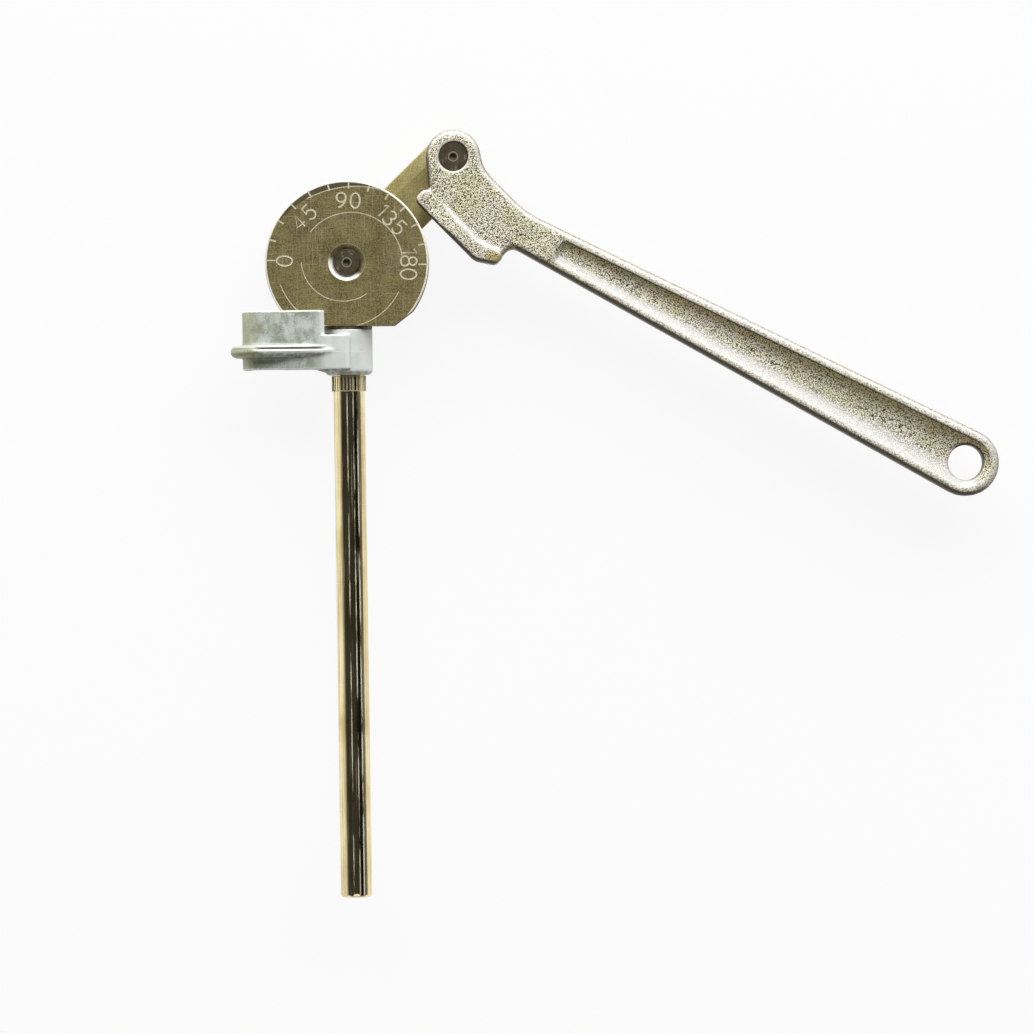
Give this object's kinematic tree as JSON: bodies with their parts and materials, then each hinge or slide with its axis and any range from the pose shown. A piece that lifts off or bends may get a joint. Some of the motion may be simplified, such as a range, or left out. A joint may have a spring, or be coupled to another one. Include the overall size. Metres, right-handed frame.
{
  "type": "tube bender",
  "caption": "Hand lever bender for small tube: grooved former disc with an angle dial, swinging link and troughed lever with a pressing shoe, swivel hook and round handle rod.",
  "frame": {"origin": "bend centre: the axis of the former, in the middle plane of the tube", "axes": "+Z out of the dial face, along the bend axis; -Y down the handle rod; the tool lies on its back"},
  "size_m": [0.2914, 0.2916, 0.0374],
  "materials": {
    "plated_steel": "yellow plated, turned and scratched",
    "dark_steel": "dark turned steel",
    "washer_steel": "plain stamped steel",
    "polished_rod": "drawn bright bar, yellow plated",
    "link_steel": "flat bar, yellow plated",
    "rough_casting": "rough casting, zinc plated",
    "zinc_casting": "die-cast zinc, matt grey"
  },
  "bodies": {
    "frame": {"former": "plated_steel", "centre_pin": "dark_steel", "centre_thrust_washer": "washer_steel", "centre_rivet_washer": "washer_steel", "handle_rod": "polished_rod", "rod_lock_pin": "dark_steel", "hook_washer": "dark_steel"},
    "link": {"link_plate": "link_steel"},
    "lever": {"lever": "rough_casting", "lever_pin": "dark_steel", "lever_thrust_washer": "washer_steel", "lever_rivet_washer": "washer_steel"},
    "hook": {"hook": "zinc_casting"}
  },
  "joints": [
    {"name": "link_swing", "type": "hinge", "parent": "frame", "child": "link", "pos_m": [0, 0, 0], "axis": [0, 0, 1], "range_deg": [-45, 135]},
    {"name": "lever_pivot", "type": "hinge", "parent": "link", "child": "lever", "pos_m": [0.041, 0.0396, 0], "axis": [0, 0, 1], "range_deg": [-15, 120]},
    {"name": "hook_swivel", "type": "hinge", "parent": "frame", "child": "hook", "pos_m": [0, -0.035, 0], "axis": [0, 1, 0], "range_deg": [0, 80]}
  ]
}
